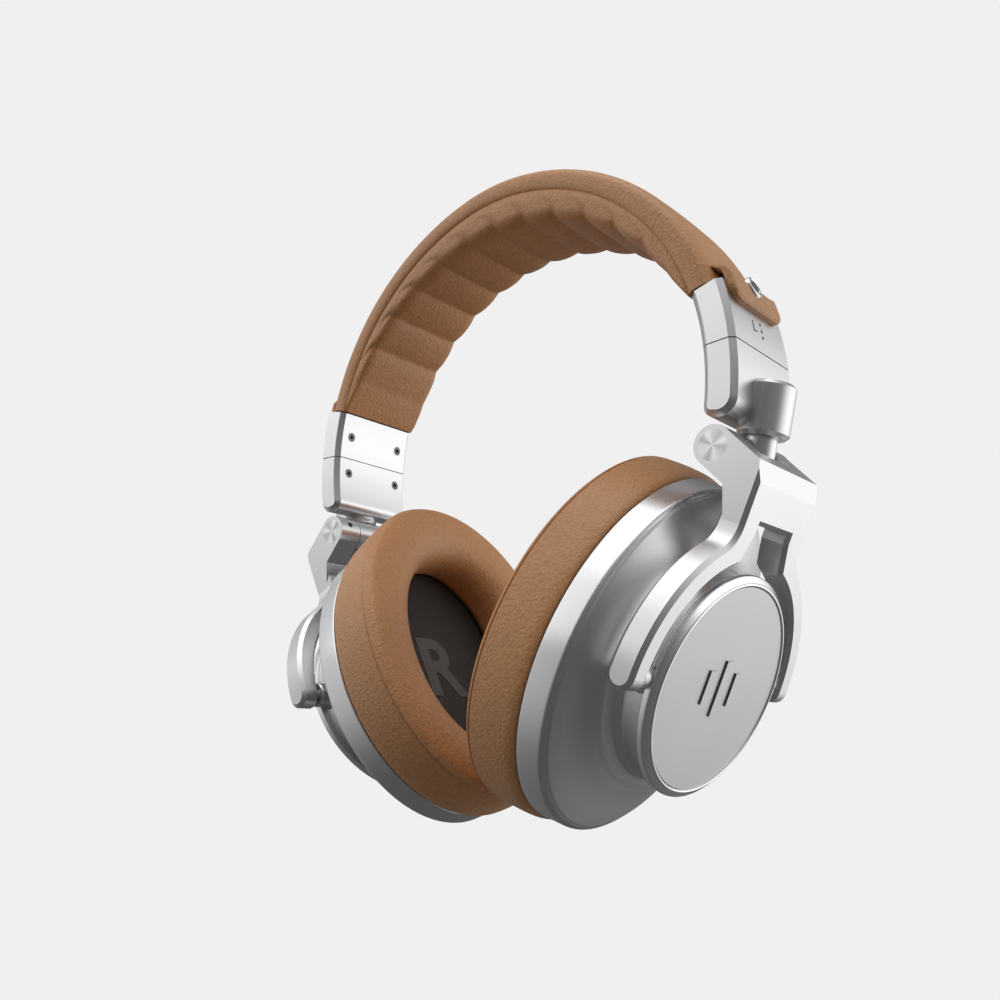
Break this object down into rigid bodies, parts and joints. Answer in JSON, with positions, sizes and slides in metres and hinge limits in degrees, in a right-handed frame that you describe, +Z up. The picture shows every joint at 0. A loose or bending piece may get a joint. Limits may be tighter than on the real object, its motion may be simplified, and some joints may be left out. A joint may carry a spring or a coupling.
{
  "type": "over-ear headphones",
  "caption": "Folding over-ear headphones with a leather-padded spring band, sliding arms and round-capped oval cups that swivel, fold and tilt.",
  "frame": {"origin": "where the underside of the crown pad rests on the head, on the plane of symmetry", "axes": "+X towards the wearer's left, -Y to the front, +Z up"},
  "size_m": [0.1772, 0.085, 0.1991],
  "materials": {
    "satin_silver": "satin silver paint with a fine sparkle",
    "bright_silver": "turned and chamfered bright edges",
    "leather": "brown soft leather, fine grain",
    "steel": "spring and slider steel",
    "dark_steel": "blackened screws",
    "dark_plastic": "black moulded plastic",
    "driver_cloth": "dark woven speaker cloth",
    "cushion": "brown soft leather over foam, fine grain"
  },
  "bodies": {
    "headband": {"spring_band": "steel", "headband_core": "dark_plastic", "headband_cover": "leather", "headband_padding": "leather", "flap_rivets": "dark_steel", "left_end_block": "satin_silver", "left_end_cover": "satin_silver", "left_end_cover_screws": "dark_steel", "right_end_block": "satin_silver", "right_end_cover": "satin_silver", "right_end_cover_screws": "dark_steel"},
    "left_slider": {"left_slider_block": "satin_silver", "left_slider_cover": "satin_silver", "left_slider_strip": "steel", "left_slider_cover_screws": "dark_steel"},
    "left_swivel": {"left_swivel_knuckle": "satin_silver", "left_swivel_clip": "steel"},
    "left_fork": {"left_fork": "satin_silver", "left_fold_pin": "bright_silver", "left_fold_pin_screws": "dark_steel", "left_tilt_pins": "steel"},
    "left_cup": {"left_cup_shell": "satin_silver", "left_cap_ring": "bright_silver", "left_cap_disc": "satin_silver", "left_cap_emblem": "bright_silver", "left_cup_rim": "satin_silver", "left_baffle": "dark_plastic", "left_baffle_screws": "dark_steel", "left_driver_frame": "dark_plastic", "left_driver_diaphragm": "dark_plastic", "left_driver_magnet": "steel", "left_driver_cloth": "driver_cloth", "left_cushion_ring": "dark_plastic", "left_ear_cushion": "cushion", "left_jack_socket": "dark_plastic"},
    "right_slider": {"right_slider_block": "satin_silver", "right_slider_cover": "satin_silver", "right_slider_strip": "steel", "right_slider_cover_screws": "dark_steel"},
    "right_swivel": {"right_swivel_knuckle": "satin_silver", "right_swivel_clip": "steel"},
    "right_fork": {"right_fork": "satin_silver", "right_fold_pin": "bright_silver", "right_fold_pin_screws": "dark_steel", "right_tilt_pins": "steel"},
    "right_cup": {"right_cup_shell": "satin_silver", "right_cap_ring": "bright_silver", "right_cap_disc": "satin_silver", "right_cap_emblem": "bright_silver", "right_cup_rim": "satin_silver", "right_baffle": "dark_plastic", "right_baffle_screws": "dark_steel", "right_driver_frame": "dark_plastic", "right_driver_diaphragm": "dark_plastic", "right_driver_magnet": "steel", "right_driver_cloth": "driver_cloth", "right_cushion_ring": "dark_plastic", "right_ear_cushion": "cushion", "right_jack_socket": "dark_plastic"}
  },
  "joints": [
    {"name": "left_slide", "type": "slide", "parent": "headband", "child": "left_slider", "axis": [0.0497, 0, -0.9988], "range_m": [0, 0.02], "deforming": ["left_slider_strip"]},
    {"name": "left_swivel", "type": "hinge", "parent": "left_slider", "child": "left_swivel", "pos_m": [0.07716, 0, -0.08754], "axis": [0.2521, 0, 0.9677], "range_deg": [-90, 15]},
    {"name": "left_fold", "type": "hinge", "parent": "left_swivel", "child": "left_fork", "pos_m": [0.073, 0, -0.08646], "axis": [0, 1, 0], "range_deg": [0, 65], "deforming": ["left_ear_cushion", "right_ear_cushion"]},
    {"name": "left_tilt", "type": "hinge", "parent": "left_fork", "child": "left_cup", "pos_m": [0.05764, 0, -0.14282], "axis": [0, 1, 0], "range_deg": [-15, 0]},
    {"name": "right_slide", "type": "slide", "parent": "headband", "child": "right_slider", "axis": [-0.0497, 0, -0.9988], "range_m": [0, 0.02], "deforming": ["right_slider_strip"]},
    {"name": "right_swivel", "type": "hinge", "parent": "right_slider", "child": "right_swivel", "pos_m": [-0.07716, 0, -0.08754], "axis": [-0.2521, 0, 0.9677], "range_deg": [-15, 90]},
    {"name": "right_fold", "type": "hinge", "parent": "right_swivel", "child": "right_fork", "pos_m": [-0.073, 0, -0.08646], "axis": [0, 1, 0], "range_deg": [-65, 0], "deforming": ["left_ear_cushion", "right_ear_cushion"]},
    {"name": "right_tilt", "type": "hinge", "parent": "right_fork", "child": "right_cup", "pos_m": [-0.05764, 0, -0.14282], "axis": [0, 1, 0], "range_deg": [0, 15]}
  ]
}
